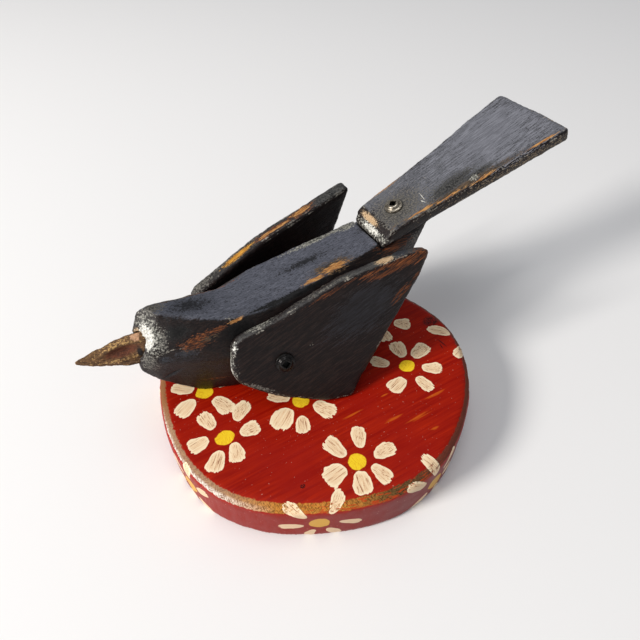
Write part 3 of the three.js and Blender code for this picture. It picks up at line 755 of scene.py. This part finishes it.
# Its pale top is a painted sheen, the pale patches on its bevel are painted glints and highlights, and the thin white
# lines are scratches.
tail.data.materials.append(weathered_black(
    "black_paint_on_tail", TAIL_SEAT, (0, 0, 0), ("#5A5B60", "#7B7C84"),
    [
        (PAINTED_PALE_SHEEN, [((74, 2, 8.5), (44, 34, 3))]),
        (SOOTY, [((31, -12, 8.5), (20, 6.5, 2)), ((47, -16, 8.5), (13, 3, 2))]),
        (SAWN_SIDE, [((60, -27, 3), (60, 4.4, 5), (0, 0, -6.3)), ((101, -14, 4), (3, 20, 5))]),
        (DULL_GREY, [
            ((-19.6, 0, 1.5), (2, 18, 3)), ((0, -4, 9), (21, 16, 1.5)),
        ]),
        (THIN_PAINT, [((34, -17.6, 8.5), (44, 2.2, 1.4), (0, 0, -6.3))]),
        (TAN_WOOD, [((-14.2, 4.6, 7.0), (2.8, 9.5, 2.2))]),
        (BARE_WOOD, [
            ((9, -14.4, 8.6), (11, 0.9, 1.4), (0, 0, -6.3)), ((25, -17.2, 8.4), (12, 0.8, 1.4), (0, 0, -6.3)),
            ((46, -20.4, 8.4), (9, 1.2, 1.4), (0, 0, -6.3)), ((84, -24.4, 8.4), (12, 0.8, 1.4), (0, 0, -6.3)),
            ((2, 16.4, 8.4), (14, 1.2, 1.6)),
        ]),
        (PAINTED_GLINT, [((-16.8, -1, 4.0), (2.6, 18, 2.4)), ((43, -17.2, 8.5), (3, 2.2, 1))]),
        (SCRATCHES_AND_PAINTED_HIGHLIGHT, [
            ((-15.8, -4, 3.9), (3, 14, 2.2), (4, 0, 8)), ((15.5, -6, 8.5), (4.2, 0.26, 1), (0, 0, 80)),
            ((13.6, -9.6, 8.5), (2.4, 0.26, 1), (0, 0, -73)),
        ]),
    ],
    rub=1.2,
))
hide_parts("tail")
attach(tail, "root")


# Screws: plated steel screws with a washer head and a square recess, one in each wing and one in
# the tail. The wing screws are painted over with the wings, and the tail screw is bare.
SCREW_OUTLINE = [
    (0, -24.8), (2.1, -21.8), (2.1, 0), (5.1, 0), (5.1, 0.7), (4.9, 1.0), (4.0, 1.1), (3.7, 1.3),
    (3.5, 1.8), (3.2, 2.25), (2.7, 2.55), (2.3, 2.6), (0, 2.6),
]
RECESS = 3.4


def washer_head_screw(name, at, turn, stands_on):
    """A screw that stands on a board of the given thickness, its axis along the turned Z axis."""
    corners = [(radius / 1000, 0, (stands_on + z) / 1000) for radius, z in SCREW_OUTLINE]
    outline = bpy.data.meshes.new(name)
    outline.from_pydata(corners, [(i, i + 1) for i in range(len(corners) - 1)], [])
    screw = bpy.data.objects.new(name, outline)
    bpy.context.scene.collection.objects.link(screw)
    turned = screw.modifiers.new("turned", "SCREW")
    turned.steps = 48
    turned.use_merge_vertices = True
    turned.merge_threshold = 1e-6
    bpy.ops.mesh.primitive_cube_add(size=RECESS / 1000, location=(0, 0, corners[-1][2]))
    punch = bpy.context.object
    punch.rotation_euler = (0, 0, math.radians(38))
    punch.scale = (1, 1, 1.3)
    hole = screw.modifiers.new("square recess", "BOOLEAN")
    hole.object = punch
    hole.solver = "EXACT"
    rounded = screw.modifiers.new("rounded edges", "BEVEL")
    rounded.width = 0.00018
    rounded.segments = 2
    rounded.limit_method = "ANGLE"
    rounded.angle_limit = math.radians(40)
    bpy.ops.object.select_all(action="DESELECT")
    screw.select_set(True)
    bpy.context.view_layer.objects.active = screw
    for modifier in ("turned", "square recess", "rounded edges"):
        bpy.ops.object.modifier_apply(modifier=modifier)
    bpy.data.objects.remove(punch)
    bpy.ops.object.shade_smooth_by_angle(angle=math.radians(35))
    screw.data.transform(Matrix.Translation(Vector(at) / 1000) @ turn.to_4x4())
    return screw


def screw_steel(name, steel, grime, roughness, metallic, recesses):
    """Steel with patches of grime, and painted shade in the square recesses, whose middles are given in mm."""
    material, tree, shader = finish_of(name, Metallic=metallic)
    point = millimetres(tree)
    grit = add(tree, "TexNoise", point, 1.1, 3.0, 0.6)
    dirty = add(tree, "MapRange", grit, 0.42, 0.66)
    steel = add(tree, "Mix", dirty, colour(steel), colour(grime), data_type="RGBA")
    # The square recesses are painted nearly black: painted shade.
    painted_shade_in_recess = add(tree, "MapRange", near(tree, point, [(at, (2.6, 2.6, 2.6)) for at in recesses]), 0.0, 0.25)
    steel = add(tree, "Mix", painted_shade_in_recess, steel, colour("#0A0908"), data_type="RGBA")
    tree.links.new(steel, shader.inputs["Base Color"])
    uneven = add(tree, "MapRange", grit, 0.3, 0.7, roughness, roughness + 0.2)
    tree.links.new(uneven, shader.inputs["Roughness"])
    bump = add(tree, "Bump", Strength=0.3, Distance=0.0001, Height=grit)
    tree.links.new(bump, shader.inputs["Normal"])
    return material


def along_axis(where, stand, height):
    """The place at a height along the axis of the screw on a seat."""
    at, turn = where
    return tuple(Vector(at) + turn.to_matrix() @ stand @ Vector((0, 0, height)))


TO_THE_LEFT = Matrix.Rotation(math.radians(90), 3, "X")
TO_THE_RIGHT = Matrix.Rotation(math.radians(-90), 3, "X")
UPWARDS = Matrix.Identity(3)
painted_screw = screw_steel(
    "steel_screw_under_black_paint", "#2B2827", "#121110", 0.16, 0.7,
    [along_axis(LEFT_SEAT, TO_THE_LEFT, 9.4), along_axis(RIGHT_SEAT, TO_THE_RIGHT, 9.4)],
)
bare_screw = screw_steel(
    "zinc_plated_steel_screw", "#C2B8A6", "#5A4F40", 0.22, 1.0, [along_axis(TAIL_SEAT, UPWARDS, 9.4)]
)
outwards = {
    "left_wing": (LEFT_SEAT, TO_THE_LEFT, painted_screw),
    "right_wing": (RIGHT_SEAT, TO_THE_RIGHT, painted_screw),
    "tail": (TAIL_SEAT, UPWARDS, bare_screw),
}
for board_name, ((at, turn), stand, steel) in outwards.items():
    screw = washer_head_screw(f"washer_head_screw_{board_name}", at, turn.to_matrix() @ stand, 8.8)
    screw.data.materials.append(steel)
    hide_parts(f"screw_{board_name}")
    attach(screw, "root")


# Studio: a pale floor, one large soft light low in front of the beak, and a broad one overhead
bpy.ops.object.select_all(action="DESELECT")
bpy.ops.mesh.primitive_plane_add(size=12)
floor = bpy.context.object
floor.name = "floor"
pale, tree, shader = finish_of("pale_paper", Roughness=0.9)
shader.inputs["Base Color"].default_value = colour("#F4F3F2")
floor.data.materials.append(pale)


def soft_light(name, place, size, power, tint):
    lamp = bpy.data.lights.new(name, "AREA")
    lamp.shape = "DISK"
    lamp.size = size
    lamp.energy = power
    lamp.color = tint
    holder = bpy.data.objects.new(name, lamp)
    holder.location = place
    holder.rotation_euler = (-Vector(place)).to_track_quat("-Z", "Y").to_euler()
    bpy.context.scene.collection.objects.link(holder)


soft_light("low front light", (-2.2, 0.1, 1.24), 0.7, 70, (1.0, 0.97, 0.93))
soft_light("overhead light", (0, 0, 3.0), 2.0, 18, (0.95, 0.97, 1.0))
world = bpy.data.worlds.new("studio")
bpy.context.scene.world = world
world.use_nodes = True
world.node_tree.nodes["Background"].inputs["Color"].default_value = (0.93, 0.95, 1.0, 1)
world.node_tree.nodes["Background"].inputs["Strength"].default_value = 0.31
